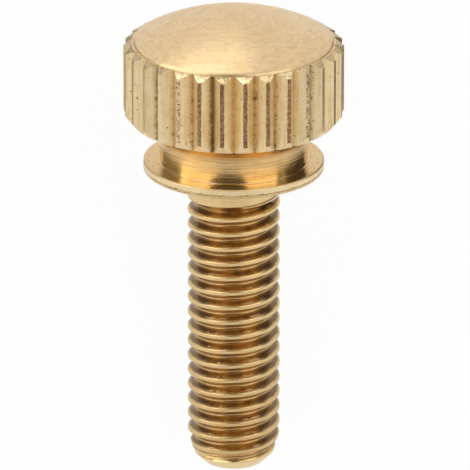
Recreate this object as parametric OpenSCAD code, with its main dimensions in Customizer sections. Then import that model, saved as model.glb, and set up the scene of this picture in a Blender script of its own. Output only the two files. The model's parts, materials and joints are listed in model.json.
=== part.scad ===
// Knurled thumb screw, turned from one brass bar.
// A domed, straight-knurled head stands on a thin collar across a coved neck,
// and a threaded shank runs from the collar to a chamfered tip.
//
// The screw is drawn upright in its own axes, with z = 0 at the collar's seat,
// the head above and the shank below. It is then laid down as it comes to rest
// on a table: on two neighbouring ridges of the head and on the shank's tip.

/* [Head] */
// Diameter over the knurled ridges
head_d = 14; // [12:0.5:17]
// Height of the knurled band between its two bevels
band_h = 4.25; // [3:0.25:6]
// Radial width of the bevel round the top of the band
top_bevel_w = 0.5; // [0.3:0.05:0.7]
// Height of the bevel round the top of the band
top_bevel_h = 0.3; // [0.15:0.05:0.5]
// Radial width of the bevel round the bottom of the band
foot_bevel_w = 0.45; // [0.3:0.05:0.6]
// Height of the bevel round the bottom of the band
foot_bevel_h = 0.55; // [0.3:0.05:0.8]
// Rise of the crown above its rim
crown_h = 1.62; // [0.8:0.02:2.4]
// Width of the narrow flat between the top bevel and the crown
rim_flat_w = 0.04; // [0.02:0.01:0.2]

/* [Knurl] */
// Number of ridges round the head
ridges = 30; // [24:2:36]
// Width of the flat land left on each ridge
land_w = 0.26; // [0.15:0.01:0.4]
// Angle between the two flanks of a groove
groove_angle = 90; // [80:1:100]
// Width of the narrow flat in the bottom of a groove
groove_root_w = 0.1; // [0.04:0.01:0.2]

/* [Neck] */
// Diameter at the narrowest place of the neck
neck_d = 9.6; // [8:0.1:10]
// Height of the neck between the collar and the head
neck_h = 2.8; // [2.4:0.1:3.6]
// Radius of the cove turned round the neck
cove_r = 1.55; // [1.4:0.05:1.7]
// How far the neck's straight foot stands out from the narrowest place
cove_foot_w = 0.03; // [0.02:0.01:0.8]

/* [Collar] */
// Diameter of the collar
collar_d = 11.5; // [11:0.1:13]
// Thickness of the collar
collar_t = 0.6; // [0.5:0.05:1.2]
// Width of the broken edge round each face of the collar
collar_edge = 0.08; // [0.02:0.01:0.15]

/* [Shank] */
// Outside diameter of the thread
thread_d = 6; // [5:0.5:6.5]
// Length from the collar's seat to the tip
shank_l = 20; // [10:1:40]
// Radial width of the chamfer at the tip
tip_chamfer_w = 1.05; // [0.8:0.05:1.3]
// Length of the chamfer at the tip
tip_chamfer_l = 1.0; // [0.8:0.05:1.6]

/* [Hidden] */

head_r = head_d / 2;
neck_r = neck_d / 2;
collar_r = collar_d / 2;
thread_r = thread_d / 2;
tip_r = thread_r - tip_chamfer_w;
round_fn = 96;
clear = 1;                              // how far a cutter runs past the metal

// Levels along the axis, upward from the seat
foot_z = collar_t + neck_h;             // flat underside of the head
band_z0 = foot_z + foot_bevel_h;        // lower end of the ridges' lands
band_z1 = band_z0 + band_h;             // upper end of the ridges' lands
rim_z = band_z1 + top_bevel_h;          // rim of the crown
apex_z = rim_z + crown_h;
foot_r = head_r - foot_bevel_w;
rim_r = head_r - top_bevel_w;

// The crown is a cap of one sphere, through its own edge and its apex
crown_edge_r = rim_r - rim_flat_w;
crown_r = (crown_edge_r * crown_edge_r + crown_h * crown_h) / (2 * crown_h);
crown_z = apex_z - crown_r;

// The cove is one round cut that runs out level with the head's underside
cove_z = foot_z - cove_r;
cove_x = neck_r + cove_r;
cove_foot_r = neck_r + cove_foot_w;

// A groove is as wide as the pitch leaves between two lands
pitch_a = 360 / ridges;
land_a = 2 * asin(land_w / 2 / head_r);
groove_half_a = (pitch_a - land_a) / 2;
groove_half_w = head_r * sin(groove_half_a);
groove_mouth_r = head_r * cos(groove_half_a);
flank_a = groove_angle / 2;             // from the groove's middle plane
groove_floor_r = groove_mouth_r - (groove_half_w - groove_root_w / 2) / tan(flank_a);
groove_open_r = head_r + clear;
groove_open_x = groove_root_w / 2 + (groove_open_r - groove_floor_r) * tan(flank_a);

// Rest on a table: the start of the tip's chamfer touches it, and so does either
// the lower end of two lands, with a groove straight below the axis, or the
// collar's edge where that stands further out
shank_end_z = -shank_l + tip_chamfer_l;
land_slope = (groove_mouth_r - thread_r) / (band_z0 - shank_end_z);
collar_slope = (collar_r - thread_r) / (collar_edge - shank_end_z);
rest_tilt = atan(max(land_slope, collar_slope));
rest_lift = thread_r * cos(rest_tilt) - shank_end_z * sin(rest_tilt);
crown_end_y = crown_z * cos(rest_tilt) + crown_r;
tip_end_y = -shank_l * cos(rest_tilt) - tip_r * sin(rest_tilt);
rest_shift = -(crown_end_y + tip_end_y) / 2;

// Half section of the head below its crown, out to the ridges' lands
module head_section() {
    polygon([
        [0, foot_z], [foot_r, foot_z], [head_r, band_z0],
        [head_r, band_z1], [rim_r, rim_z], [0, rim_z]
    ]);
}

// Half section of the crown: the part of a circle above its rim
module crown_section() {
    intersection() {
        translate([0, crown_z]) circle(r = crown_r, $fn = 2 * round_fn);
        translate([0, rim_z]) square([head_r, crown_h + clear]);
    }
}

// Half section of the neck, with the cove taken out of its side
module neck_section() {
    difference() {
        union() {
            translate([0, collar_t]) square([cove_foot_r, cove_z - collar_t]);
            translate([0, cove_z]) square([min(cove_x, foot_r), cove_r]);
        }
        translate([cove_x, cove_z]) circle(r = cove_r, $fn = round_fn);
    }
}

// Half section of the collar, with both of its edges broken
module collar_section() {
    polygon([
        [0, 0], [collar_r - collar_edge, 0], [collar_r, collar_edge],
        [collar_r, collar_t - collar_edge], [collar_r - collar_edge, collar_t], [0, collar_t]
    ]);
}

// Half section of the shank over the thread's crests
module shank_section() {
    polygon([
        [0, -shank_l], [tip_r, -shank_l], [thread_r, shank_end_z], [thread_r, 0], [0, 0]
    ]);
}

// Cutter for one groove of the knurl, the one that faces -Y
module groove_cutter() {
    translate([0, 0, foot_z - clear])
        linear_extrude(height = apex_z - foot_z + 2 * clear)
            polygon([
                [-groove_root_w / 2, -groove_floor_r], [groove_root_w / 2, -groove_floor_r],
                [groove_open_x, -groove_open_r], [-groove_open_x, -groove_open_r]
            ]);
}

// The head with its crown, knurled all round; the turning starts in a groove
module knurled_head() {
    difference() {
        rotate([0, 0, -90])
            rotate_extrude($fn = round_fn) {
                head_section();
                crown_section();
            }
        for (i = [0:ridges - 1])
            rotate([0, 0, i * pitch_a]) groove_cutter();
    }
}

// The screw upright, head up, with its seat at z = 0
module upright_screw() {
    knurled_head();
    rotate_extrude($fn = round_fn) {
        neck_section();
        collar_section();
        shank_section();
    }
}

// The screw as it lies: head towards +Y, tip down
module thumb_screw() {
    color("goldenrod")
        translate([0, rest_shift, rest_lift])
            rotate([rest_tilt - 90, 0, 0])
                upright_screw();
}

thumb_screw();
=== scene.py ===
"""Brass thumb screw: the detailed piece, its finishes, the floor, the lamps and the camera."""

import json
import logging
import math
from dataclasses import dataclass
from enum import Enum
from typing import Callable, Sequence, Union

import bmesh
import bpy
from mathutils import Matrix, Vector

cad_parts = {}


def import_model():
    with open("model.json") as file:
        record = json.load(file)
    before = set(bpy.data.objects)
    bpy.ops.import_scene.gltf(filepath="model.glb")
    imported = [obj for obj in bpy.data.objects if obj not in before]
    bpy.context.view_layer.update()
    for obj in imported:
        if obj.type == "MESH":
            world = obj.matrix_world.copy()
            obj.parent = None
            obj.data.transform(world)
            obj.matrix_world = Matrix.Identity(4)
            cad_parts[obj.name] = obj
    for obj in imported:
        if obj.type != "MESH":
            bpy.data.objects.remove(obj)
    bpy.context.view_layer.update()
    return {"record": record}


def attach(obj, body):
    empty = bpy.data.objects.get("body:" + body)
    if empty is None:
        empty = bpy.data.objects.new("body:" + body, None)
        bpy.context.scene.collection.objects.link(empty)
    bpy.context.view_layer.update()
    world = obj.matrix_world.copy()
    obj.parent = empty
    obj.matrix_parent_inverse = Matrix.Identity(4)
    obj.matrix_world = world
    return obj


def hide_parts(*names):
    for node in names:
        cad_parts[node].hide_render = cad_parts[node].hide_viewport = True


LOG = logging.getLogger("thumb_screw")
MM = 0.001  # metres
NEAR = 0.004  # millimetres from a ring within which a corner lies on it
MERGED = 0.0005  # millimetres within which two corners become one
UPRIGHT = (0.0, 0.0, 1.0)  # the screw's own axis, from its tip to its head
SIDE = Vector((1, 0, 0))  # level across the screw
WHITE = (1.0, 1.0, 1.0)
Piece = bpy.types.Object
Point = tuple[float, float]
Colour = tuple[float, float, float]
Socket = bpy.types.NodeSocket
Value = Union[Socket, float]


class Zone(Enum):
    """Part of the screw's surface that has a finish of its own, by its slot number."""

    CROWN = 0
    KNURL = 1
    BEVEL = 2
    NECK = 3
    COLLAR = 4
    THREAD = 5
    TIP = 6


class Pick(Enum):
    """What a selection is made of, by the name of its select mode."""

    CORNERS = "VERT"
    FACES = "FACE"


# ------------------------ bench tools


def put_down() -> None:
    """Deselects every object, so that the next operator acts on one piece."""
    if bpy.context.object and bpy.context.object.mode != "OBJECT":
        bpy.ops.object.mode_set(mode="OBJECT")
    bpy.ops.object.select_all(action="DESELECT")


def pick_up(piece: Piece) -> None:
    """Makes one object the only selected and active one.

    Args:
        piece: the object to work on.
    """
    put_down()
    piece.select_set(True)
    bpy.context.view_layer.objects.active = piece


def mark(piece: Piece, test: Callable[[Vector], bool], pick: Pick = Pick.CORNERS) -> None:
    """Selects a mesh's corners or faces by their place, in edit mode.

    Args:
        piece: the mesh, in edit mode.
        test: says of a corner or a face's middle whether it is wanted.
        pick: what is selected.
    """
    bpy.ops.mesh.select_mode(type=pick.value)
    bpy.ops.mesh.select_all(action="DESELECT")
    shape = bmesh.from_edit_mesh(piece.data)
    if pick is Pick.FACES:
        found = [face for face in shape.faces if test(face.calc_center_median())]
    else:
        found = [corner for corner in shape.verts if test(corner.co)]
    for element in found:
        element.select_set(True)
    shape.select_flush_mode()
    bmesh.update_edit_mesh(piece.data)


def take_all() -> None:
    """Selects the whole mesh, in edit mode."""
    bpy.ops.mesh.select_all(action="SELECT")


def merge_all() -> None:
    """Selects the whole mesh, in edit mode, and merges the corners that meet."""
    take_all()
    bpy.ops.mesh.remove_doubles(threshold=MERGED)


def draw_profile(name: str, points: Sequence[Point]) -> Piece:
    """Draws a half section as a chain of edges, one extruded corner after another.

    Args:
        name: name of the new object.
        points: (radius, height) of each corner, in millimetres.

    Returns:
        The object, in edit mode, its chain on the side that faces -Y.
    """
    put_down()
    bpy.ops.mesh.primitive_plane_add(size=0.001, location=(0, 0, 0))
    piece = bpy.context.object
    piece.name = name
    bpy.ops.object.mode_set(mode="EDIT")
    take_all()
    bpy.ops.mesh.merge(type="CENTER")
    corners = [Vector((0, -radius, height)) for radius, height in points]
    bpy.ops.transform.translate(value=corners[0])
    for before, here in zip(corners, corners[1:]):
        bpy.ops.mesh.extrude_region_move(TRANSFORM_OT_translate={"value": here - before})
    return piece


def spread(first: float, last: float, steps: int) -> list[float]:
    """Values from first to last in even steps, both of them included."""
    return [first + (last - first) * k / steps for k in range(steps + 1)]


def arc(centre: Point, radius: float, start: float, end: float, steps: int) -> list[Point]:
    """Points along an arc of the half section, its angles in degrees from outward, turning up."""
    angles = [math.radians(angle) for angle in spread(start, end, steps)]
    return [(centre[0] + radius * math.cos(a), centre[1] + radius * math.sin(a)) for a in angles]


def ramp_between(value: float, low: float, high: float) -> float:
    """Smooth step of a value from 0 at low to 1 at high."""
    share = min(1.0, max(0.0, (value - low) / (high - low)))
    return share * share * (3 - 2 * share)


def stand(place: Vector, across: Vector, up: Vector) -> Matrix:
    """Matrix that puts an origin at a place, with +X along across and +Z along up."""
    return Matrix.Translation(place) @ Matrix((across, up.cross(across), up)).transposed().to_4x4()


# ------------------------ sub-assemblies


@dataclass(frozen=True)
class KnurledHead:
    """Domed head with a straight knurl, from its apex down to its flat underside."""

    radius: float = 7.0
    band_low: float = 3.95
    band_high: float = 8.2
    foot_z: float = 3.4
    foot_radius: float = 6.55
    rim_radius: float = 6.5
    rim_z: float = 8.5
    rim_flat: float = 0.04
    lip_radius: float = 6.362
    lip_width: float = 0.22
    lip_rise: float = 0.11
    apex_z: float = 10.3
    ridges: int = 30
    land_half: float = 1.06  # degrees
    point_radius: float = 6.372
    columns: int = 360
    groove_columns: int = 5
    column_gap: float = 0.3  # degrees
    crown_rings: int = 24
    crown_crowding: float = 0.8
    lip_rings: int = 5
    band_rings: int = 9

    @property
    def crown_edge(self) -> float:
        """Radius at which the narrow flat round the crown starts."""
        return self.rim_radius - self.rim_flat

    @property
    def crown_radius(self) -> float:
        """Radius of the crown's sphere."""
        rise = self.apex_z - self.rim_z - self.lip_rise
        return (self.lip_radius**2 + rise**2) / (2 * rise)

    @property
    def pitch(self) -> float:
        """Degrees from one ridge to the next."""
        return 360 / self.ridges

    @property
    def band_levels(self) -> list[float]:
        """Heights of the band's rings, from its upper end down."""
        return spread(self.band_high, self.band_low, self.band_rings)

    def crown_height(self, radius: float) -> float:
        """Height at a radius of the crown, which is a sphere with a rounded lip.

        Args:
            radius: distance from the axis.

        Returns:
            The height, the rim's outside the lip.
        """
        if radius >= self.lip_radius:
            return self.rim_z
        height = self.apex_z - self.crown_radius + math.sqrt(self.crown_radius**2 - radius**2)
        share = max(0.0, (radius - self.lip_radius + self.lip_width) / self.lip_width)
        return height - self.lip_rise * (1 - math.sqrt(max(0.0, 1 - share**2)))

    def bevel_height(self, radius: float) -> float:
        """Height of the top bevel, or of the crown inside its rim, at a radius.

        Args:
            radius: distance from the axis.

        Returns:
            The height.
        """
        if radius < self.rim_radius:
            return self.crown_height(min(radius, self.crown_edge))
        slope = (self.rim_z - self.band_high) / (self.radius - self.rim_radius)
        return self.band_high + (self.radius - radius) * slope

    def foot_height(self, radius: float) -> float:
        """Height of the bottom bevel, or of the underside within it, at a radius."""
        slope = (self.band_low - self.foot_z) / (self.radius - self.foot_radius)
        return max(self.foot_z, self.band_low - (self.radius - radius) * slope)

    def profile(self) -> list[Point]:
        """The head's half section from its apex to the underside, as turned.

        Returns:
            The corners, from the apex on.
        """
        inner = self.lip_radius - self.lip_width
        shares = spread(0, 1, self.crown_rings)
        turns = spread(0, math.pi / 2, self.lip_rings)
        radii = [inner * share**self.crown_crowding for share in shares]
        radii += [inner + self.lip_width * math.sin(turn) for turn in turns[1:]]
        return [
            *((radius, self.crown_height(radius)) for radius in radii),
            (self.crown_edge, self.rim_z),
            (self.rim_radius, self.rim_z),
            *((self.radius, level) for level in self.band_levels),
            (self.foot_radius, self.foot_z),
        ]

    def column_radius(self, offset: int) -> float:
        """Radius of the knurl at a whole number of degrees from a groove's middle."""
        angle = math.radians(offset)
        return min(self.radius, self.point_radius / (math.cos(angle) - math.sin(angle)))

    def knurl(self, piece: Piece) -> None:
        """Presses the grooves into the turned band, both bevels and the crown's edge.

        Args:
            piece: the turned blank, in edit mode.
        """
        for offset in range(self.groove_columns):
            inner = self.column_radius(offset)
            moves = [((self.radius, level), (inner, level)) for level in self.band_levels[1:-1]]
            moves += [
                ((self.radius, self.band_high), (inner, self.bevel_height(inner))),
                ((self.radius, self.band_low), (inner, self.foot_height(inner))),
            ]
            if inner < self.foot_radius:
                moves.append(((self.foot_radius, self.foot_z), (inner, self.foot_z)))
            if inner < self.rim_radius:
                rim = (inner, self.crown_height(min(inner, self.crown_edge)))
                moves += [
                    ((self.rim_radius, self.rim_z), rim),
                    ((self.crown_edge, self.rim_z), rim),
                ]
            for ring, target in moves:
                self.press(piece, offset, ring, target)

    def press(self, piece: Piece, offset: int, ring: Point, target: Point) -> None:
        """Moves the corners that a ring has on one set of the grooves' columns.

        Args:
            piece: the turned blank, in edit mode.
            offset: degrees from the middle of a groove to the columns.
            ring: (radius, height) of the ring.
            target: (radius, height) that its corners move to.
        """

        def wanted(place: Vector) -> bool:
            """Says whether a corner lies on the ring and on one of the columns."""
            if abs(place.xy.length - ring[0]) >= NEAR or abs(place.z - ring[1]) >= NEAR:
                return False
            azimuth = math.degrees(math.atan2(place.x, -place.y)) % self.pitch
            return abs(min(azimuth, self.pitch - azimuth) - offset) < self.column_gap

        mark(piece, wanted)
        share = target[0] / ring[0]
        bpy.ops.transform.translate(value=(0, 0, target[1] - ring[1]))
        bpy.ops.transform.resize(
            value=(share, share, 1),
            center_override=(0, 0, 0),
            constraint_axis=(True, True, False),
        )


@dataclass
class CovedNeck:
    """Neck between the head and the collar: an upright foot that curls out into the head."""

    foot_radius: float = 4.7
    foot_z: float = 0.6
    fillet: float = 0.06
    wall_curve: float = 4.2
    cove_z: float = 2.3
    cove_radius: float = 1.96
    head_z: float = 3.4
    head_radius: float = 6.36
    cove_steps: int = 32
    wall_steps: int = 16
    fillet_steps: int = 5

    def profile(self) -> list[Point]:
        """The neck's half section from the head's underside to the collar.

        Returns:
            The corners, from the underside down.
        """
        low = self.foot_z + self.fillet
        lean = math.asin((self.cove_z - low) / self.wall_curve)
        wall_centre = (self.foot_radius + self.wall_curve, low)
        centre = (
            wall_centre[0] - (self.wall_curve - self.cove_radius) * math.cos(lean),
            self.cove_z - self.cove_radius * math.sin(lean),
        )
        last = math.degrees(math.asin((self.head_z - centre[1]) / self.cove_radius))
        meet = 180 - math.degrees(lean)
        cove = arc(centre, self.cove_radius, 180 - last, meet, self.cove_steps)
        wall = arc(wall_centre, self.wall_curve, meet, 180, self.wall_steps)[1:]
        corner = (self.foot_radius + self.fillet, low)
        foot = arc(corner, self.fillet, 180, 270, self.fillet_steps)[1:]
        return [(self.head_radius, self.head_z), *cove, *wall, *foot]


@dataclass
class Collar:
    """Thin collar under the neck, its edges broken, with a flat seat below."""

    radius: float = 5.75
    thickness: float = 0.6
    edge: float = 0.08
    inner_radius: float = 4.9
    bore_radius: float = 3.04
    root: tuple[Point, ...] = ((2.93, -0.05), (2.9, -0.12))
    rings: int = 6
    wall_steps: int = 5
    edge_steps: int = 4

    def profile(self) -> list[Point]:
        """The collar's half section from its top face to the root of the shank.

        Returns:
            The corners, from the top face down.
        """
        top, edge, flat = self.thickness, self.edge, self.radius - self.edge
        face = spread(self.inner_radius, flat, self.rings)[:-1]
        wall = spread(top - edge, edge, self.wall_steps)[1:-1]
        seat = spread(flat, self.bore_radius, self.rings)[1:]
        return [
            *((radius, top) for radius in face),
            *arc((flat, top - edge), edge, 90, 0, self.edge_steps),
            *((self.radius, height) for height in wall),
            *arc((flat, edge), edge, 0, -90, self.edge_steps),
            *((radius, 0.0) for radius in seat),
            *self.root,
        ]


@dataclass
class ThreadedShank:
    """Shank with a right-hand thread, its run-out under the collar and its chamfered tip."""

    crest_radius: float = 2.94
    root_radius: float = 2.44
    pitch: float = 1.0
    crest_flat: float = 0.23
    root_flat: float = 0.16
    length: float = 20.0
    plain_radius: float = 2.9
    plain_end: Point = (-1.84, -1.68)  # heights over which the plain run starts
    throat: Point = (1.62, 2.3)  # depths over which the grooves deepen
    throat_drop: float = 0.5
    throat_end: float = -2.4
    lead_radius: float = 2.66  # of the crests at lead_z, where the thread starts
    lead_z: float = -19.08
    chamfer_radius: float = 1.93
    least_radius: float = 0.3
    tip_rings: tuple[Point, ...] = (
        (0.97, 0.0), (0.75, 0.01), (0.7, 0.0), (0.6, 0.0), (0.5, 0.0), (0.4, 0.03)
    )
    root_top: float = -0.3
    first_groove: float = -2.06
    spare: int = 3  # turns wound past the length and cut off again
    steps: int = 120

    def profile(self) -> list[Point]:
        """One pitch of the thread, from the middle of a groove down to the next one.

        Returns:
            The corners, with the root and the crest rounded.
        """
        crest, root, half = self.crest_radius, self.root_radius, self.pitch / 2
        inner, outer = self.root_flat / 2, half - self.crest_flat / 2
        upper = [
            (root, 0.0),
            (root + 0.006, -inner * 0.55),
            (root + 0.03, -inner),
            (root + 0.085, -inner - 0.035),
            (root + (crest - root) * 0.45, -inner - (outer - inner) * 0.45),
            (crest - 0.05, -outer + 0.026),
            (crest - 0.024, -outer + 0.006),
            (crest - 0.008, -outer - 0.016),
            (crest - 0.001, -outer - 0.04),
            (crest, -half),
        ]
        lower = [(r, -self.pitch - z) for r, z in reversed(upper[:-1])]
        return upper + lower

    def cut_limit(self, place: Vector) -> Vector:
        """Where the die's throat and the tip's chamfer leave a point of the thread.

        Args:
            place: the point, in the screw's own axes.

        Returns:
            The point, moved straight in or out.
        """
        radius = place.xy.length
        target = radius
        if place.z > self.throat_end:
            throat = self.plain_radius - self.throat_drop * ramp_between(-place.z, *self.throat)
            target = max(target, throat)
            share = ramp_between(place.z, *self.plain_end)
            target = target + (self.plain_radius - target) * share
        slope = (self.crest_radius - self.lead_radius) / self.pitch
        lead = self.lead_radius + (place.z - self.lead_z) * slope
        chamfer = self.chamfer_radius + (place.z + self.length)
        target = min(target, max(self.least_radius, chamfer), max(self.least_radius, lead))
        return Vector((place.x * target / radius, place.y * target / radius, place.z))

    def build(self) -> Piece:
        """Winds the thread, cuts its run-out and chamfer, and faces its tip.

        Returns:
            The shank, open at its top, in edit mode.
        """
        piece = draw_profile("shank", self.profile())
        take_all()
        top = self.first_groove + self.spare * self.pitch
        bpy.ops.transform.translate(value=(0, 0, top))
        pick_up(piece)
        winding = piece.modifiers.new("winding", "SCREW")
        winding.axis = "Z"
        winding.angle = 2 * math.pi
        winding.steps = winding.render_steps = self.steps
        winding.screw_offset = self.pitch
        winding.iterations = 1
        winding.use_merge_vertices = False
        bpy.ops.object.modifier_apply(modifier=winding.name)
        row = piece.modifiers.new("row", "ARRAY")
        row.use_relative_offset = False
        row.use_constant_offset = True
        row.constant_offset_displace = (0, 0, -self.pitch)
        row.count = int(self.length / self.pitch) + self.spare + 1
        bpy.ops.object.modifier_apply(modifier=row.name)
        bpy.ops.object.mode_set(mode="EDIT")
        merge_all()
        shape = bmesh.from_edit_mesh(piece.data)
        for corner in shape.verts:
            corner.co = self.cut_limit(corner.co)
        bmesh.update_edit_mesh(piece.data)
        for height, tip in ((self.root_top, False), (-self.length, True)):
            take_all()
            bpy.ops.mesh.bisect(
                plane_co=(0, 0, height),
                plane_no=UPRIGHT,
                clear_outer=not tip,
                clear_inner=tip,
                use_fill=tip,
                threshold=0.00001,
            )
        self.face_tip(piece)
        return piece

    def face_tip(self, piece: Piece) -> None:
        """Draws the tip's flat end inward in rings, with a shallow pip in its middle.

        Args:
            piece: the shank, in edit mode.
        """
        centre = (0, 0, -self.length)
        mark(piece, lambda place: (place - Vector(centre)).length < self.least_radius, Pick.FACES)
        for share, depth in self.tip_rings:
            bpy.ops.mesh.extrude_region_move(TRANSFORM_OT_translate={"value": (0, 0, depth)})
            bpy.ops.transform.resize(value=(share, share, 1), center_override=centre)
        bpy.ops.mesh.merge(type="CENTER")


@dataclass
class ThumbScrew:
    """The whole screw: one turning, drawn upright and then laid on the table."""

    head: KnurledHead
    neck: CovedNeck
    collar: Collar
    shank: ThreadedShank
    crease: float = 32.0  # degrees between faces past which their edge stays sharp
    slack: float = 0.001  # how far a face's middle may lie past its zone
    fillet_slack: float = 0.002
    bevel_slack: float = 0.03
    tip_height: float = 0.9

    def turn_blank(self) -> Piece:
        """Turns the head, the neck and the collar from one half section.

        Returns:
            The blank with its knurl, open where the shank starts.
        """
        points = self.head.profile() + self.neck.profile() + self.collar.profile()
        piece = draw_profile("turned_brass_screw", points)
        take_all()
        bpy.ops.mesh.spin(
            steps=self.head.columns, angle=2 * math.pi, center=(0, 0, 0), axis=UPRIGHT
        )
        merge_all()
        self.head.knurl(piece)
        merge_all()
        bpy.ops.mesh.dissolve_degenerate(threshold=0.0002)
        return piece

    def build(self, axes: Matrix) -> Piece:
        """Makes the screw as one closed piece and lays it down.

        Args:
            axes: takes the screw's own millimetres to where it lies, in metres.

        Returns:
            The finished mesh, its object at the origin.
        """
        piece = self.turn_blank()
        shank = self.shank.build()
        pick_up(piece)
        shank.select_set(True)
        bpy.ops.object.join()
        bpy.ops.object.mode_set(mode="EDIT")
        self.close_root(piece)
        take_all()
        bpy.ops.mesh.normals_make_consistent(inside=False)
        self.zone_faces(piece)
        pick_up(piece)
        piece.matrix_world = axes
        bpy.context.view_layer.update()
        bpy.ops.object.transform_apply(location=True, rotation=True, scale=True)
        bpy.ops.object.shade_smooth_by_angle(angle=math.radians(self.crease))
        return piece

    def close_root(self, piece: Piece) -> None:
        """Joins the shank's open top to the collar's root.

        Args:
            piece: the joined mesh, in edit mode.
        """
        bpy.ops.mesh.select_mode(type="EDGE")
        bpy.ops.mesh.select_all(action="DESELECT")
        shape = bmesh.from_edit_mesh(piece.data)
        for edge in shape.edges:
            edge.select_set(edge.is_boundary)
        bmesh.update_edit_mesh(piece.data)
        bpy.ops.mesh.bridge_edge_loops()

    def zone_of(self, place: Vector) -> Zone:
        """Says which zone a part of the surface belongs to.

        Args:
            place: a face's middle, in the screw's own axes.

        Returns:
            Its zone.
        """
        radius, height, head = place.xy.length, place.z, self.head
        inside_rim = height > head.band_high and radius < head.crown_edge - self.slack
        if height > head.rim_z - self.slack or inside_rim:
            return Zone.CROWN
        if height > head.foot_z + self.slack:
            on_bevel = height > head.bevel_height(radius) - self.bevel_slack
            return Zone.BEVEL if on_bevel else Zone.KNURL
        if height > self.neck.foot_z + self.fillet_slack:
            return Zone.NECK
        if height > -self.slack:
            return Zone.COLLAR
        return Zone.TIP if height < -self.shank.length + self.tip_height else Zone.THREAD

    def zone_faces(self, piece: Piece) -> None:
        """Gives each face the slot of its zone.

        Args:
            piece: the joined mesh, in edit mode.
        """
        while len(piece.data.materials) < len(Zone):
            piece.data.materials.append(None)
        for zone in Zone:
            mark(piece, lambda place: self.zone_of(place) is zone, Pick.FACES)
            piece.active_material_index = zone.value
            bpy.ops.object.material_slot_assign()


# ------------------------ finishes


class Board:
    """Lays out the nodes of a material or of the world."""

    def __init__(self, owner: Union[bpy.types.Material, bpy.types.World]) -> None:
        """Clears the nodes of a material or of the world.

        Args:
            owner: whose nodes they are.
        """
        owner.use_nodes = True
        self.nodes, self.links = owner.node_tree.nodes, owner.node_tree.links
        self.nodes.clear()

    def add(
        self, kind: str, *values: object, into: Sequence[Union[str, int]] = (), **settings: object
    ) -> bpy.types.Node:
        """Adds a node.

        Args:
            kind: its type, without the first word that all types share.
            values: a socket to link, or a number, vector or colour to set, for each input.
            into: the inputs that the values go to; the first ones if left out.
            settings: its own settings, by name.

        Returns:
            The node.
        """
        node = self.nodes.new("ShaderNode" + kind)
        for name, setting in settings.items():
            setattr(node, name, setting)
        for key, value in zip(into or range(len(values)), values):
            if isinstance(value, Socket):
                self.links.new(value, node.inputs[key])
            else:
                colour = isinstance(value, tuple)
                node.inputs[key].default_value = (*value, 1.0) if colour else value
        return node

    def reckon(self, operation: str, *values: Value, clamp: bool = False) -> Socket:
        """Adds a Math node, held between 0 and 1 if clamp is set, and returns its output."""
        return self.add("Math", *values, operation=operation, use_clamp=clamp).outputs[0]

    def times(self, first: Value, second: Value) -> Socket:
        """Product of two values."""
        return self.reckon("MULTIPLY", first, second)

    def plus(self, first: Value, second: Value, clamp: bool = False) -> Socket:
        """Sum of two values."""
        return self.reckon("ADD", first, second, clamp=clamp)

    def minus(self, first: Value, second: Value) -> Socket:
        """Difference of two values."""
        return self.reckon("SUBTRACT", first, second)

    def larger(self, first: Value, second: Value) -> Socket:
        """The larger of two values."""
        return self.reckon("MAXIMUM", first, second)

    def lift(
        self, value: Socket, low: float, high: float, bottom: float = 0.0, top: float = 1.0
    ) -> Socket:
        """Maps a value from low..high to bottom..top, smoothly and held at the ends."""
        return self.add(
            "MapRange", value, low, high, bottom, top, interpolation_type="SMOOTHSTEP"
        ).outputs[0]

    def band(self, value: Socket, start: float, full: float, last: float, end: float) -> Socket:
        """Rises from 0 at start to 1 at full, and falls from 1 at last to 0 at end."""
        return self.times(self.lift(value, start, full), self.lift(value, last, end, 1.0, 0.0))


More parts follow.
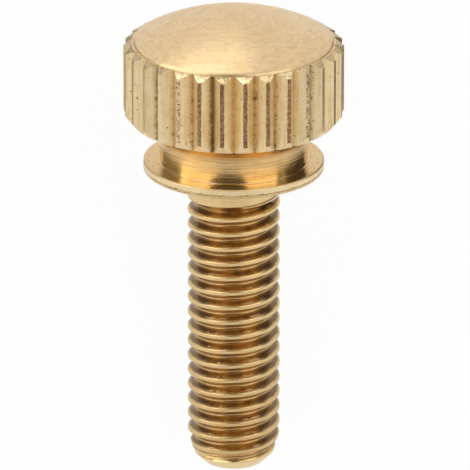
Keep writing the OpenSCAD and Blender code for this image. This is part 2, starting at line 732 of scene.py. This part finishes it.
class Bench(Board):
    """Lays out a brass material in the screw's own axes."""

    SLANT = 0.77  # how far the radius counts beside the height, so that rings show on flats

    def __init__(self, name: str, axes: Matrix) -> None:
        """Starts a material with the screw's own axes ready, in millimetres.

        Args:
            name: the material's name.
            axes: takes the screw's own millimetres to where it lies, in metres.
        """
        self.material = bpy.data.materials.new(name)
        super().__init__(self.material)
        self.shader = self.add("BsdfPrincipled")
        self.add("OutputMaterial", self.shader.outputs["BSDF"])
        self.seat, self.axis = axes.to_translation(), axes.to_3x3().col[2].normalized()
        back = axes.inverted()
        self.object_place = self.add("TexCoord").outputs["Object"]
        turn = self.add(
            "Mapping",
            self.object_place,
            back.to_translation(),
            back.to_quaternion().to_euler(),
            Vector((1 / MM, 1 / MM, 1 / MM)),
            vector_type="POINT",
        )
        self.place = turn.outputs["Vector"]
        self.x, self.y, self.z = self.add("SeparateXYZ", self.place).outputs
        squares = self.plus(self.times(self.x, self.x), self.times(self.y, self.y))
        self.r = self.reckon("SQRT", squares)
        self.level = self.plus(self.z, self.times(self.r, self.SLANT))
        self.angle = self.reckon("ARCTAN2", self.x, self.times(self.y, -1.0))

    def join(self, x: Value, y: Value, z: Value) -> Socket:
        """Vector of three values."""
        return self.add("CombineXYZ", x, y, z).outputs[0]

    def aside(self) -> Socket:
        """How far round to a side a place is: 0 at the front and the back, 1 at the sides."""
        return self.reckon("ABSOLUTE", self.reckon("SINE", self.angle))

    def gap(self, first: Value, second: Value) -> Socket:
        """Distance between two values."""
        return self.reckon("ABSOLUTE", self.minus(first, second))

    def grain(
        self, scale: float, detail: float = 2.0, rough: float = 0.5, at: Union[Socket, None] = None
    ) -> Socket:
        """Adds a Noise texture.

        Args:
            scale: cells to a millimetre.
            detail: octaves.
            rough: how strong the finer octaves are.
            at: vector to read it at; the screw's own axes if left out.

        Returns:
            The noise value, about 0.5 in the middle.
        """
        place = self.place if at is None else at
        slots = ("Vector", "Scale", "Detail", "Roughness")
        return self.add("TexNoise", place, scale, detail, rough, into=slots).outputs[0]

    def ragged(self, size: float, scale: float, detail: float = 3.0, rough: float = 0.6) -> Socket:
        """Noise on both sides of zero, of a given size, that frays an edge it is added to."""
        return self.times(self.minus(self.grain(scale, detail, rough), 0.5), size)

    def streaks(self, around: float, out: float, along: float, detail: float = 3.0) -> Socket:
        """Noise with its own cells to a radian round the axis and a millimetre out and along."""
        place = (self.times(self.angle, around), self.times(self.r, out), self.times(self.z, along))
        return self.grain(1.0, detail, 0.6, self.join(*place))

    def rings(self, scale: float, detail: float = 2.0, drift: float = 0.05) -> Socket:
        """Noise in rings round the axis, as a tool leaves them, that drift on their way round."""
        place = self.join(self.times(self.x, drift), self.times(self.y, drift), self.level)
        return self.grain(scale, detail, 0.6, place)

    def coat(
        self, colour: Union[Socket, Colour], *layers: tuple[Value, Union[Socket, Colour]]
    ) -> Socket:
        """Lays colours one over another.

        Args:
            colour: the lowest colour.
            layers: (share, colour) of each layer, from the lowest up.

        Returns:
            The colour that shows.
        """
        for share, over in layers:
            mix = self.add("Mix", share, colour, over, into=(0, 6, 7), data_type="RGBA")
            colour = mix.outputs[2]
        return colour

    def metal(self, rough: float, anisotropy: float) -> None:
        """Sets what is the same all over a brass surface.

        Args:
            rough: roughness where nothing drives it.
            anisotropy: how far turning marks stretch a reflection.
        """
        slots = self.shader.inputs
        slots["Metallic"].default_value = 1.0
        slots["Roughness"].default_value = rough
        slots["Anisotropic"].default_value = anisotropy
        if anisotropy:
            slots["Anisotropic Rotation"].default_value = 0.25
            arm = self.add("VectorMath", self.object_place, self.seat, operation="SUBTRACT")
            across = self.add("VectorMath", self.axis, arm.outputs[0], operation="CROSS_PRODUCT")
            self.set("Tangent", across.outputs[0])

    def set(self, slot: str, value: Socket) -> None:
        """Links a socket to one of the shader's inputs."""
        self.links.new(value, self.shader.inputs[slot])

    def relief(self, height: Socket, depth: float) -> None:
        """Raises the surface by a pattern from 0 to 1, whose depth is in millimetres."""
        bump = self.add("Bump", 1.0, depth * MM, height, into=("Strength", "Distance", "Height"))
        self.set("Normal", bump.outputs[0])


@dataclass(frozen=True)
class BrassTone:
    """Colours of free-cutting brass off the tool, as drawn bar and where it is soiled, and those of
    the shade, highlights and reflections painted on it.
    """

    cut: Colour = (0.82, 0.59, 0.31)
    # warm: painted gold reflection in the roots of the knurl and the thread
    warm: Colour = (0.79, 0.53, 0.24)
    rich: Colour = (0.87, 0.625, 0.285)
    pale: Colour = (0.88, 0.69, 0.42)
    # bright: bright metal, and also painted highlights and sheen on the neck, the bevel and the
    # collar
    bright: Colour = (0.98, 0.785, 0.475)
    # groove: brown of the grooves, and also painted shade towards the thread's tip and sides
    groove: Colour = (0.52, 0.30, 0.10)
    # soot_and_shade: soot on turning marks, and painted shade in the thread's grooves towards the
    # sides
    soot_and_shade: Colour = (0.22, 0.14, 0.07)
    # grime_and_shade: grime, and painted shade in the knurl's roots, on the bevel's side teeth and
    # on the collar's lower edge
    grime_and_shade: Colour = (0.33, 0.235, 0.11)
    bar: Colour = (0.235, 0.118, 0.055)
    pit: Colour = (0.16, 0.10, 0.05)


@dataclass(frozen=True)
class Finish:
    """What every brass finish has: its colours, its gloss and a way to make it."""

    tone: BrassTone = BrassTone()
    rough: float = 0.14
    anisotropy: float = 0.0

    def make(self, zone: Zone, axes: Matrix) -> bpy.types.Material:
        """Builds the material.

        Args:
            zone: the zone it is for, which names it.
            axes: takes the screw's own millimetres to where it lies, in metres.

        Returns:
            The material.
        """
        bench = Bench("brass_" + zone.name.lower(), axes)
        bench.metal(self.rough, self.anisotropy)
        self.dress(bench)
        return bench.material

    def dress(self, bench: Bench) -> None:
        """Gives the material its colour, gloss and relief; each finish has its own way."""
        raise NotImplementedError


@dataclass(frozen=True)
class CrownFinish(Finish):
    """Satin dome with concentric turning marks."""

    def dress(self, bench: Bench) -> None:
        """Gives the dome its rings, its clouds and its fine grain.

        Args:
            bench: the material's bench.
        """
        marks = bench.rings(14.0, 3.0, 0.12)
        fine = bench.grain(16.0, 3.0, 0.65)
        colour = bench.coat(
            self.tone.cut,
            (bench.lift(bench.grain(1.4), 0.3, 0.7, 0.1, 0.45), self.tone.pale),
            (bench.lift(marks, 0.4, 0.75, 0.0, 0.2), self.tone.soot_and_shade),
            (bench.lift(fine, 0.5, 0.72, 0.0, 0.3), self.tone.grime_and_shade),
        )
        bench.set("Base Color", colour)
        gloss = bench.lift(bench.rings(2.2, 1.0), 0.3, 0.7, self.rough - 0.05, self.rough + 0.07)
        bench.set("Roughness", gloss)
        bench.relief(bench.plus(bench.times(marks, 0.6), bench.times(fine, 0.4)), 0.008)


@dataclass(frozen=True)
class KnurlFinish(Finish):
    """Cut flanks with chatter, grime, painted shade and a painted gold reflection in the roots, and
    brown drawn-bar skin left on the lands.
    """

    head: KnurledHead = KnurledHead()
    skin_from: float = 0.12  # radians round from the front to where the skin is whole

    def dress(self, bench: Bench) -> None:
        """Streaks the flanks, soils and shades the roots, pits the metal and skins the lands.

        Args:
            bench: the material's bench.
        """
        tone = self.tone
        turns = bench.reckon("DIVIDE", bench.angle, math.radians(self.head.pitch))
        number = bench.reckon("ROUND", turns)
        from_groove = bench.gap(turns, number)
        chatter = bench.streaks(26.0, 1.0, 20.0)
        drawn = bench.streaks(55.0, 1.0, 0.3, 2.0)
        pits = bench.lift(bench.grain(5.5, 2.0, 0.6), 0.67, 0.73, 0.0, 0.8)
        metal = bench.coat(
            tone.bright,
            (bench.lift(bench.grain(1.6, 3.0, 0.6), 0.35, 0.65, 0.0, 0.45), tone.rich),
            (bench.lift(chatter, 0.46, 0.68, 0.0, 0.16), tone.groove),
            (bench.lift(drawn, 0.5, 0.66, 0.0, 0.22), tone.groove),
            (bench.lift(drawn, 0.46, 0.34, 0.0, 0.75), tone.bright),
            (bench.lift(bench.grain(15.0, 2.0, 0.7), 0.5, 0.68, 0.0, 0.18), tone.grime_and_shade),
        )
        metal = self.shade_and_soil_roots(bench, metal, from_groove, number)
        skin = self.bar_skin(bench, from_groove)
        bench.set("Base Color", bench.coat(metal, (pits, tone.pit), (skin, tone.bar)))
        rough = bench.plus(bench.times(skin, 0.16), bench.times(pits, 0.2))
        bench.set("Roughness", bench.plus(rough, self.rough))
        height = bench.plus(chatter, bench.times(bench.grain(13.0, 2.0, 0.6), 0.6))
        bench.relief(bench.minus(height, bench.times(pits, 1.5)), 0.014)

    def shade_and_soil_roots(
        self, bench: Bench, metal: Socket, from_groove: Socket, number: Socket
    ) -> Socket:
        """Paints a gold reflection into every groove's root and darkens it with grime and painted
        shade, some grooves far more than others.

        Args:
            bench: the material's bench.
            metal: the colour of the clean metal.
            from_groove: distance from the groove's middle, as a share of the pitch.
            number: the groove's number round the head.

        Returns:
            The soiled colour.
        """
        place = bench.join(bench.times(number, 7.31), 0.0, bench.times(bench.z, 0.12))
        wave = bench.reckon("SINE", bench.plus(bench.times(number, 2.41), 4.4))
        own = bench.plus(bench.times(bench.grain(1.0, 0.0, 0.5, place), 0.3), 0.33)
        own = bench.plus(own, bench.times(wave, 0.17))
        edge = bench.plus(from_groove, bench.ragged(0.16, 6.0, 2.0))
        wide = bench.times(bench.lift(edge, 0.02, 0.22, 0.6, 0.0), bench.lift(own, 0.46, 0.66, 0.1))
        spots = bench.lift(bench.grain(3.4, 3.0, 0.7), 0.5, 0.62)
        spots = bench.times(spots, bench.lift(edge, 0.04, 0.16, 0.8, 0.0))
        wide = bench.plus(wide, bench.times(spots, bench.lift(own, 0.3, 0.5, 0.2)))
        line = bench.times(bench.lift(edge, 0.02, 0.07, 0.2, 0.0), bench.lift(own, 0.35, 0.6, 0.2))
        return bench.coat(
            metal,
            # painted reflection: a gold tint in every root
            (bench.lift(edge, 0.0, 0.2, 0.36, 0.0), self.tone.warm),
            # grime in blotches and spots, with painted shade as a band and a thin line along the
            # root
            (bench.plus(wide, line, clamp=True), self.tone.grime_and_shade),
        )

    def bar_skin(self, bench: Bench, from_groove: Socket) -> Socket:
        """Shows where the lands keep the bar's brown skin, whole, flecked or worn away.

        Args:
            bench: the material's bench.
            from_groove: distance from the groove's middle, as a share of the pitch.

        Returns:
            The share of skin, from 0 to 1.
        """
        half, radius = 0.5 - self.head.land_half / self.head.pitch, self.head.radius
        edge = bench.plus(from_groove, bench.ragged(0.04, 7.0))
        outer = bench.lift(bench.r, radius - 0.05, radius - 0.02)
        on_land = bench.times(bench.lift(edge, half - 0.01, half + 0.006), outer)
        twice_round = bench.times(bench.minus(bench.angle, self.skin_from), 2.0)
        cover = bench.lift(bench.reckon("COSINE", twice_round), -0.3, 0.9, -0.09, 0.24)
        place = bench.join(bench.x, bench.y, bench.times(bench.z, 1.8))
        flecks = bench.grain(6.0, 4.0, 0.75, place)
        kept = bench.lift(bench.minus(bench.plus(cover, 0.42), flecks), -0.05, 0.05)
        thin = bench.lift(bench.grain(7.0, 2.0, 0.7), 0.35, 0.65, 0.7)
        return bench.times(on_land, bench.times(kept, thin))


@dataclass(frozen=True)
class TurnedFinish(Finish):
    """Bright turned surface, with rings round the axis and a few nicks."""

    ring_scale: float = 6.0
    ring_depth: float = 0.006
    ring_shade: float = 0.12
    nick_scale: float = 5.0
    nicks: float = 0.0

    def dress(self, bench: Bench) -> None:
        """Gives the surface its rings and nicks, and then what soils it and the light and shade
        painted on it.

        Args:
            bench: the material's bench.
        """
        tone, marks = self.tone, bench.rings(self.ring_scale, 3.0)
        colour = bench.coat(
            tone.cut,
            (bench.lift(bench.grain(1.6), 0.3, 0.7), tone.rich),
            (bench.lift(marks, 0.45, 0.75, 0.0, self.ring_shade), tone.soot_and_shade),
        )
        gloss = bench.lift(marks, 0.35, 0.65, self.rough * 0.85, self.rough * 1.25)
        bench.set("Roughness", gloss)
        height = marks
        if self.nicks:
            dents = bench.lift(bench.grain(self.nick_scale, 2.0, 0.6), 0.58, 0.72)
            height = bench.minus(marks, bench.times(dents, self.nicks))
            colour = bench.coat(colour, (bench.times(dents, 0.4), tone.pit))
        bench.set("Base Color", self.soil_and_light(bench, colour))
        bench.relief(height, self.ring_depth)

    def soil_and_light(self, bench: Bench, colour: Socket) -> Socket:
        """Leaves the colour as it is; finishes with soiled places, painted light and painted shade
        change it here.
        """
        return colour


@dataclass(frozen=True)
class NeckFinish(TurnedFinish):
    """Turned neck with fine rings, some of them bright, and a painted sheen under the head."""

    def soil_and_light(self, bench: Bench, colour: Socket) -> Socket:
        """Adds the bright rings and paints a paler, brighter sheen under the head.

        Args:
            bench: the material's bench.
            colour: the colour of the turned metal.

        Returns:
            The colour that shows.
        """
        fine = bench.rings(15.0, 2.0, 0.03)
        return bench.coat(
            colour,
            (bench.lift(fine, 0.56, 0.66, 0.0, 0.6), self.tone.bright),
            (bench.lift(fine, 0.44, 0.36, 0.0, 0.35), self.tone.groove),
            # painted sheen: paler and brighter towards the head
            (bench.lift(bench.z, 2.85, 3.15, 0.0, 0.7), self.tone.pale),
            (bench.lift(bench.z, 2.2, 2.6, 0.0, 0.5), self.tone.bright),
        )


@dataclass(frozen=True)
class BevelFinish(TurnedFinish):
    """Burnished teeth round the head, lit by a painted highlight, nicked where the knurl broke out
    of them and darkened by painted shade at the sides.
    """

    head: KnurledHead = KnurledHead()

    def soil_and_light(self, bench: Bench, colour: Socket) -> Socket:
        """Paints a highlight on the teeth, drags some of them, burrs their edges and paints shade
        on those at the sides.

        Args:
            bench: the material's bench.
            colour: the colour of the turned metal.

        Returns:
            The colour that shows.
        """
        inner, outer = bench.lift(bench.r, 6.5, 6.6, 1.0, 0.0), bench.lift(bench.r, 6.88, 6.96)
        burrs = bench.lift(bench.grain(3.2, 3.0, 0.7), 0.47, 0.56, 0.0, 0.75)
        teeth = bench.reckon("DIVIDE", bench.angle, math.radians(self.head.pitch))
        tooth = bench.reckon("FLOOR", teeth)
        own = bench.grain(1.0, 0.0, 0.5, bench.join(bench.times(tooth, 5.17), 0.0, 0.0))
        worst = bench.lift(bench.gap(tooth, -1.0), 0.3, 0.7, 1.0, 0.0)
        worn = bench.larger(worst, bench.lift(own, 0.52, 0.6))
        drag = bench.lift(bench.streaks(60.0, 2.0, 0.0, 2.0), 0.42, 0.56, 0.25, 0.95)
        return bench.coat(
            colour,
            # painted highlight in soft clouds over the teeth
            (bench.lift(bench.grain(2.5), 0.35, 0.65, 0.5), self.tone.bright),
            (bench.lift(bench.grain(7.0, 3.0, 0.7), 0.6, 0.68, 0.0, 0.7), self.tone.grime_and_shade),
            (bench.times(bench.larger(inner, outer), burrs), self.tone.grime_and_shade),
            (bench.times(worn, drag), self.tone.grime_and_shade),
            # painted shade: the teeth darken towards the sides
            (bench.lift(bench.aside(), 0.5, 0.8, 0.0, 0.62), self.tone.grime_and_shade),
        )


@dataclass(frozen=True)
class ThreadFinish(TurnedFinish):
    """Cut thread: bright crests, grooves stained brown, painted shade that darkens them under the
    crests, towards the sides and towards the tip, and painted glints.
    """

    stain_and_shade_from: float = 2.9
    stain_and_shade_to: float = 2.76
    groove_z: float = -2.06
    glint_rough: float = 0.42

    def soil_and_light(self, bench: Bench, colour: Socket) -> Socket:
        """Stains the grooves by their depth, in blotches, paints shade into them and paints the
        glints.

        Args:
            bench: the material's bench.
            colour: the colour of the turned metal.

        Returns:
            The colour that shows.
        """
        tone, aside = self.tone, bench.aside()
        turned = bench.reckon("DIVIDE", bench.angle, 2 * math.pi)
        level = bench.minus(bench.minus(bench.z, turned), self.groove_z)
        phase = bench.minus(level, bench.reckon("ROUND", level))
        by_tip = bench.lift(bench.z, -19.4, -18.1, 0.34, 0.0)
        depth = bench.plus(bench.plus(bench.r, bench.ragged(0.14, 2.2, rough=0.5)), by_tip)
        # painted shade: the stain reaches further up the down-facing flank under each crest
        under_crest = bench.band(phase, 0.24, 0.32, 0.39, 0.42)
        depth = bench.minus(depth, bench.times(under_crest, 0.15))
        patches = bench.lift(bench.grain(1.3, 3.0, 0.6), 0.42, 0.66, 0.0, 0.75)
        brown = bench.coat(
            tone.groove,
            # soot in random blotches, and painted shade darkening the stain towards the sides
            (bench.larger(bench.lift(aside, 0.38, 0.8, 0.0, 0.95), patches), tone.soot_and_shade),
            # painted glint: a warmer tint at the very root
            (bench.lift(bench.r, 2.5, 2.6, 0.45, 0.0), tone.warm),
        )
        # painted shade: darker towards the tip and the sides
        tip_and_side_shade = bench.plus(bench.z, bench.times(aside, -5.0))
        glints = self.glints(bench, phase, aside)
        bench.set("Roughness", bench.lift(glints, 0.0, 1.0, self.rough, self.glint_rough))
        return bench.coat(
            colour,
            (bench.lift(tip_and_side_shade, -21.0, -6.0, 0.32, 0.0), tone.groove),
            (bench.lift(depth, self.stain_and_shade_to, self.stain_and_shade_from, 1.0, 0.0), brown),
            # painted glints: unstained metal where reflections fall beside the front
            (glints, tone.cut),
        )

    def glints(self, bench: Bench, phase: Socket, aside: Socket) -> Socket:
        """Paints glints on the flanks near the crests, to both sides of the front.

        Args:
            bench: the material's bench.
            phase: height above the middle of the nearest groove, in pitches.
            aside: how far round to a side the place is.

        Returns:
            The share of painted glint, from 0 to 1.
        """
        flank = bench.band(bench.reckon("ABSOLUTE", phase), 0.2, 0.26, 0.31, 0.35)
        beside = bench.band(aside, 0.12, 0.3, 0.5, 0.75)
        glint_streaks = bench.lift(bench.streaks(3.0, 0.0, 2.6), 0.49, 0.58)
        fewer = bench.lift(bench.z, -9.0, -4.0, 1.0, 0.35)
        return bench.times(bench.times(flank, beside), bench.times(glint_streaks, fewer))


@dataclass(frozen=True)
class CollarFinish(TurnedFinish):
    """Turned collar whose edge has a ragged line round it, a painted highlight on its upper half
    and painted shade on its lower half.
    """

    line_z: float = 0.2
    corner_rough: float = 0.5

    def soil_and_light(self, bench: Bench, colour: Socket) -> Socket:
        """Paints a highlight on the edge above a broken dark line round it, and painted shade, more
        lightly, below the line.

        Args:
            bench: the material's bench.
            colour: the colour of the turned metal.

        Returns:
            The colour that shows.
        """
        level = bench.plus(bench.z, bench.ragged(0.3, 5.0, rough=0.7))
        on_edge = bench.lift(bench.r, 5.6, 5.7)
        line = bench.lift(bench.gap(level, self.line_z), 0.02, 0.07, 1.0, 0.0)
        line = bench.times(line, bench.lift(bench.grain(2.2), 0.38, 0.55, 0.35))
        # painted shade on the edge's lower half
        below = bench.lift(level, self.line_z - 0.04, self.line_z + 0.02, 0.2, 0.0)
        # painted highlight on the edge's upper half
        above = bench.lift(level, self.line_z, self.line_z + 0.1, 0.0, 0.6)
        flecks = bench.lift(bench.grain(9.0, 2.0, 0.7), 0.62, 0.7, 0.0, 0.8)
        corner = bench.times(on_edge, bench.lift(bench.z, 0.48, 0.53))
        bench.set("Roughness", bench.lift(corner, 0.0, 1.0, self.rough, self.corner_rough))
        return bench.coat(
            colour,
            (bench.times(above, on_edge), self.tone.bright),
            (bench.times(bench.larger(line, below), on_edge), self.tone.grime_and_shade),
            (bench.times(flecks, on_edge), self.tone.groove),
        )


# ------------------------ studio


@dataclass
class Studio:
    """Pale floor, soft lamps, dark cards that paint shade into the metal's reflections, world and
    camera.
    """

    seat: Vector
    axis: Vector
    camera_distance: float = 0.7
    camera_height: float = 21.4  # degrees up from square to the axis
    view_width: float = 0.029974
    aim: Point = (0.08, -4.664)  # millimetres across and along the axis from the seat
    floor_radius: float = 4.0
    floor_seen: float = 0.955  # share of its own light, so that the shadow stays
    floor_in_metal: float = 0.55
    lamp_distance: float = 0.6
    lamp_height: float = 36.0  # degrees up from square to the axis
    lamp_reach: float = 0.6
    panel_place: Colour = (-0.007, 0.05, 0.018)
    panel_size: Point = (0.028, 0.03)
    card_foot: Point = (0.0095, 0.0003)
    card_reach: float = 0.02
    card_y: float = 0.0098
    card_width: float = 0.0115

    def toward(self, azimuth: float, elevation: float) -> Vector:
        """Direction by the screw's own axes.

        Args:
            azimuth: degrees round from its upper side, which is its front.
            elevation: degrees up from square to the axis, towards the head.

        Returns:
            A vector of length 1.
        """
        turn, lift = math.radians(azimuth), math.radians(elevation)
        level = SIDE * math.sin(turn) + SIDE.cross(self.axis) * math.cos(turn)
        return level * math.cos(lift) + self.axis * math.sin(lift)

    def hang(self, name: str, data: bpy.types.ID, place: Matrix) -> Piece:
        """Puts a lamp or a camera in the scene.

        Args:
            name: its name.
            data: the lamp's or the camera's settings.
            place: where it hangs; it looks along its own -Z.

        Returns:
            The object.
        """
        thing = bpy.data.objects.new(name, data)
        bpy.context.scene.collection.objects.link(thing)
        thing.matrix_world = place
        return thing

    def camera(self) -> None:
        """Makes the camera, before the screw's front, with the head at the top."""
        data = bpy.data.cameras.new("camera")
        across, along = self.aim
        target = self.seat + (self.axis * along + SIDE * across) * MM
        back = self.toward(0, self.camera_height)
        place = stand(target + back * self.camera_distance, SIDE, back)
        bpy.context.scene.camera = self.hang("camera", data, place)
        data.sensor_width = 36
        data.lens = data.sensor_width * self.camera_distance / self.view_width
        data.clip_start, data.clip_end = 0.01, 20

    def floor(self) -> None:
        """Lays the pale floor that the screw rests on."""
        put_down()
        bpy.ops.mesh.primitive_circle_add(
            vertices=96, radius=self.floor_radius, fill_type="NGON", location=(0, 0, 0)
        )
        floor = bpy.context.object
        floor.name = "floor"
        material = bpy.data.materials.new("pale_floor")
        board = Board(material)
        matt = board.add("BsdfDiffuse", (0.97, 0.97, 0.97))
        glow = board.add("Emission", WHITE, 1.0)
        ray = board.add("LightPath").outputs
        seen = board.larger(ray["Is Camera Ray"], ray["Is Transmission Ray"])
        direct = board.times(seen, self.floor_seen)
        share = board.reckon("MULTIPLY_ADD", ray["Is Glossy Ray"], self.floor_in_metal, direct)
        mix = board.add("MixShader", share, matt.outputs[0], glow.outputs[0])
        board.add("OutputMaterial", mix.outputs[0])
        floor.data.materials.append(material)

    def softbox(
        self, name: str, place: Vector, back: Vector, size: Point, glow: float
    ) -> Piece:
        """Hangs a soft lamp.

        Args:
            name: the lamp's name.
            place: its middle.
            back: direction from what it lights to the lamp, of length 1.
            size: its width and height, in metres.
            glow: its radiance, where 1 shows as white.

        Returns:
            The lamp.
        """
        data = bpy.data.lights.new(name, "AREA")
        data.shape = "RECTANGLE"
        data.size, data.size_y = size
        data.energy = glow * math.pi * size[0] * size[1]
        overhead = abs(self.axis.dot(back)) > 0.9
        across = SIDE if overhead else self.axis.cross(back).normalized()
        lamp = self.hang(name, data, stand(place, across, back))
        lamp.visible_camera = False
        return lamp

    def shade_card(self, name: str, side: int, top: float, shade: float) -> None:
        """Leans a dark card beside the head and neck, which only shows in the metal: painted shade,
        a dimly glowing sheet seen by no camera, diffuse or shadow ray, that darkens the reflections
        at the screw's sides.

        Args:
            name: the card's name.
            side: 1 for the right, -1 for the left.
            top: height of its upper edge.
            shade: how light it is, from 0 to 1.
        """
        put_down()
        foot_x, foot_z = self.card_foot
        run = Vector((self.card_reach - foot_x, 0, top - foot_z))
        place = (side * (foot_x + run.x / 2), self.card_y, foot_z + run.z / 2)
        lean = (0, -side * math.atan2(run.z, run.x), 0)
        bpy.ops.mesh.primitive_plane_add(size=1, location=place, rotation=lean)
        card = bpy.context.object
        card.name = name
        card.scale = (run.length, self.card_width, 1)
        bpy.ops.object.transform_apply(location=True, rotation=True, scale=True)
        material = bpy.data.materials.new(name)
        board = Board(material)
        board.add("OutputMaterial", board.add("Emission", WHITE, shade).outputs[0])
        card.data.materials.append(material)
        card.visible_camera = card.visible_diffuse = card.visible_shadow = False

    def world(self) -> None:
        """Makes the room: light at the horizon, round the tip and to the sides, dim overhead."""
        world = bpy.data.worlds.new("studio")
        bpy.context.scene.world = world
        board = Board(world)
        direction = board.add("TexCoord").outputs["Generated"]
        x, _, z = board.add("SeparateXYZ", direction).outputs
        rise = board.add("VectorMath", direction, self.axis, operation="DOT_PRODUCT")
        past_tip = board.lift(rise.outputs["Value"], 0.0, 0.2, 1.0, 0.06)
        sides = board.lift(board.reckon("ABSOLUTE", x), 0.25, 0.85, 0.94, 1.1)
        horizon = board.lift(z, 0.04, 0.34, 0.95, 0.0)
        glow = board.add("Background")
        strength = board.larger(board.times(past_tip, sides), horizon)
        board.links.new(strength, glow.inputs["Strength"])
        board.add("OutputWorld", glow.outputs[0])

    def light(self) -> None:
        """Sets the view, the world, the lamps and the cards."""
        bpy.context.scene.view_settings.view_transform = "Standard"
        self.world()
        for name, azimuth, width, glow in (
            ("softbox_left", -64, 0.62, 1.65),
            ("softbox_right", 46, 0.55, 1.5),
        ):
            back = self.toward(azimuth, self.lamp_height)
            place = self.seat + back * self.lamp_distance
            self.softbox(name, place, back, (width, self.lamp_reach), glow)
        panel = self.softbox(
            "head_panel", Vector(self.panel_place), Vector((0, 1, 0)), self.panel_size, 1.15
        )
        panel.visible_diffuse = False
        # painted shade in the reflections on the right and the left
        self.shade_card("shade_card_right", 1, 0.0115, 0.05)
        self.shade_card("shade_card_left", -1, 0.0105, 0.28)


def screw_axes(record: dict) -> tuple[Matrix, Vector, Vector]:
    """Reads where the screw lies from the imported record's mounts.

    Args:
        record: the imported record.

    Returns:
        The matrix from the screw's own millimetres to metres, its seat and its upward axis.
    """
    mount = next(m for m in record["mounts"] if m["name"] == "thread")
    seat, axis = Vector(mount["pos_m"]), -Vector(mount["axis"]).normalized()
    return stand(seat, SIDE, axis) @ Matrix.Scale(MM, 4), seat, axis


def main() -> None:
    """Loads the frame, builds the screw, dresses it and lights it."""
    logging.basicConfig(level=logging.INFO, format="%(name)s: %(message)s")
    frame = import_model()
    axes, seat, axis = screw_axes(frame["record"])
    studio = Studio(seat, axis)
    studio.camera()
    studio.floor()
    studio.light()
    head = KnurledHead()
    piece = ThumbScrew(head, CovedNeck(), Collar(), ThreadedShank()).build(axes)
    finishes = {
        Zone.CROWN: CrownFinish(rough=0.34, anisotropy=0.55),
        Zone.KNURL: KnurlFinish(head=head, rough=0.42),
        Zone.BEVEL: BevelFinish(
            head=head, rough=0.26, ring_depth=0.09, nick_scale=7.0, nicks=1.6
        ),
        Zone.NECK: NeckFinish(
            rough=0.17, anisotropy=0.6, ring_scale=5.5, ring_depth=0.012, ring_shade=0.35
        ),
        Zone.COLLAR: CollarFinish(rough=0.2, ring_scale=7.0, nicks=1.5),
        Zone.THREAD: ThreadFinish(rough=0.27, ring_scale=7.0, ring_depth=0.004),
        Zone.TIP: TurnedFinish(rough=0.2, ring_scale=8.0),
    }
    for zone, finish in finishes.items():
        piece.data.materials[zone.value] = finish.make(zone, axes)
    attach(piece, "root")
    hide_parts("thumb_screw")
    piece.data.calc_loop_triangles()
    LOG.info("%s: %d triangles", piece.name, len(piece.data.loop_triangles))


if __name__ == "__main__":
    main()
